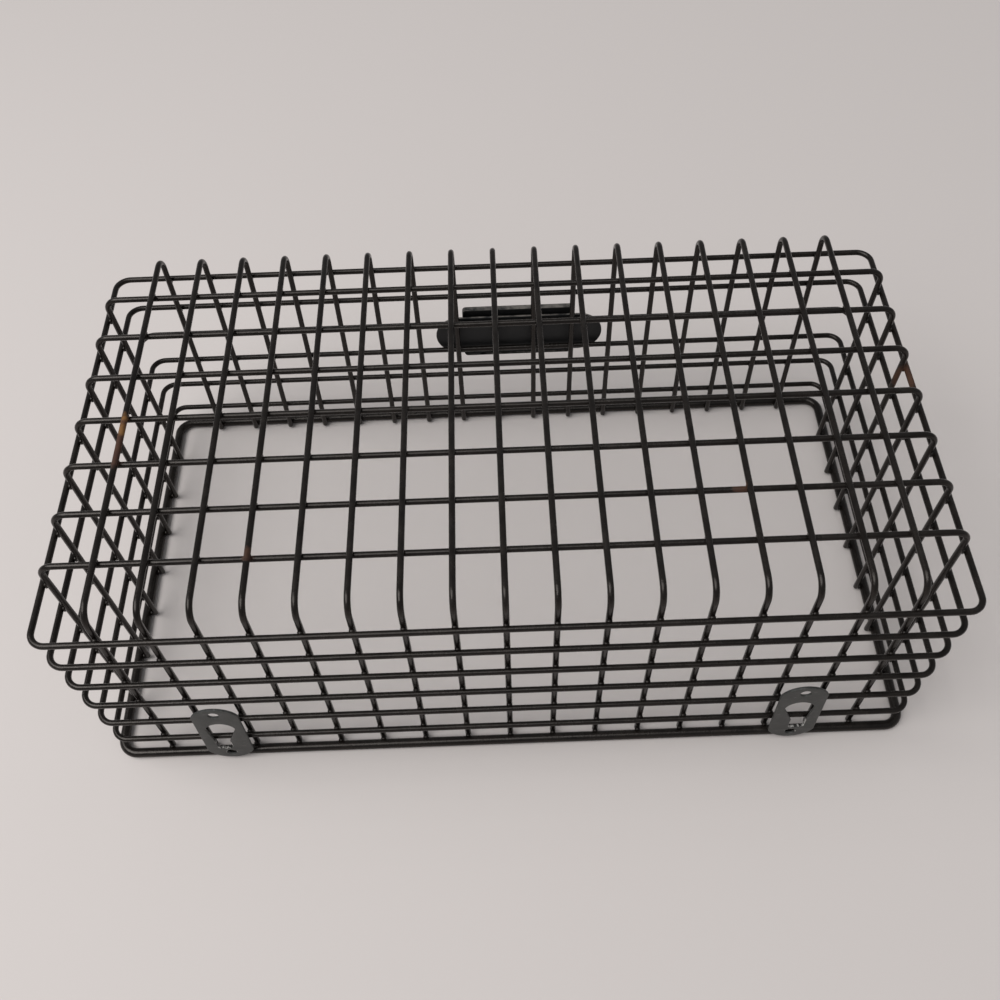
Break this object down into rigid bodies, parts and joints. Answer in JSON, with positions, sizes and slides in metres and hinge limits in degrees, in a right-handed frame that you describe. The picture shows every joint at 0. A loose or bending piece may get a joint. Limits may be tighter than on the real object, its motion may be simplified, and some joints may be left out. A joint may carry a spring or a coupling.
{
  "type": "wire wall basket",
  "caption": "Open rectangular basket of welded black wire with a thick rim rod, keyhole hanger plates for hanging on a wall, and a label holder on its front.",
  "frame": {"origin": "on the table under the middle of the whole outline, with the basket standing on its mouth", "axes": "+X along the length, -Y towards the wall it hangs on, +Y towards the label side, +Z from the mouth to the closed face; in use the basket is turned over so that +Z points down"},
  "size_m": [0.3746, 0.2124, 0.1309],
  "materials": {
    "wire_paint": "satin black paint on steel wire",
    "rim_paint": "satin black paint on steel rod",
    "plate_paint": "worn dark paint on steel sheet",
    "label_paint": "matt black paint on steel sheet"
  },
  "bodies": {
    "root": {"rim_rod": "rim_paint", "ring_wire_1": "wire_paint", "ring_wire_2": "wire_paint", "ring_wire_3": "wire_paint", "ring_wire_4": "wire_paint", "ring_wire_5": "wire_paint", "ring_wire_6": "wire_paint", "cross_wire_01": "wire_paint", "cross_wire_02": "wire_paint", "cross_wire_03": "wire_paint", "cross_wire_04": "wire_paint", "cross_wire_05": "wire_paint", "cross_wire_06": "wire_paint", "cross_wire_07": "wire_paint", "cross_wire_08": "wire_paint", "cross_wire_09": "wire_paint", "cross_wire_10": "wire_paint", "cross_wire_11": "wire_paint", "cross_wire_12": "wire_paint", "cross_wire_13": "wire_paint", "cross_wire_14": "wire_paint", "cross_wire_15": "wire_paint", "cross_wire_16": "wire_paint", "cross_wire_17": "wire_paint", "long_wire_1": "wire_paint", "long_wire_2": "wire_paint", "long_wire_3": "wire_paint", "long_wire_4": "wire_paint", "long_wire_5": "wire_paint", "long_wire_6": "wire_paint", "long_wire_7": "wire_paint", "hanger_plate_left": "plate_paint", "hanger_plate_right": "plate_paint", "label_plate": "label_paint", "label_frame": "label_paint"}
  },
  "joints": []
}
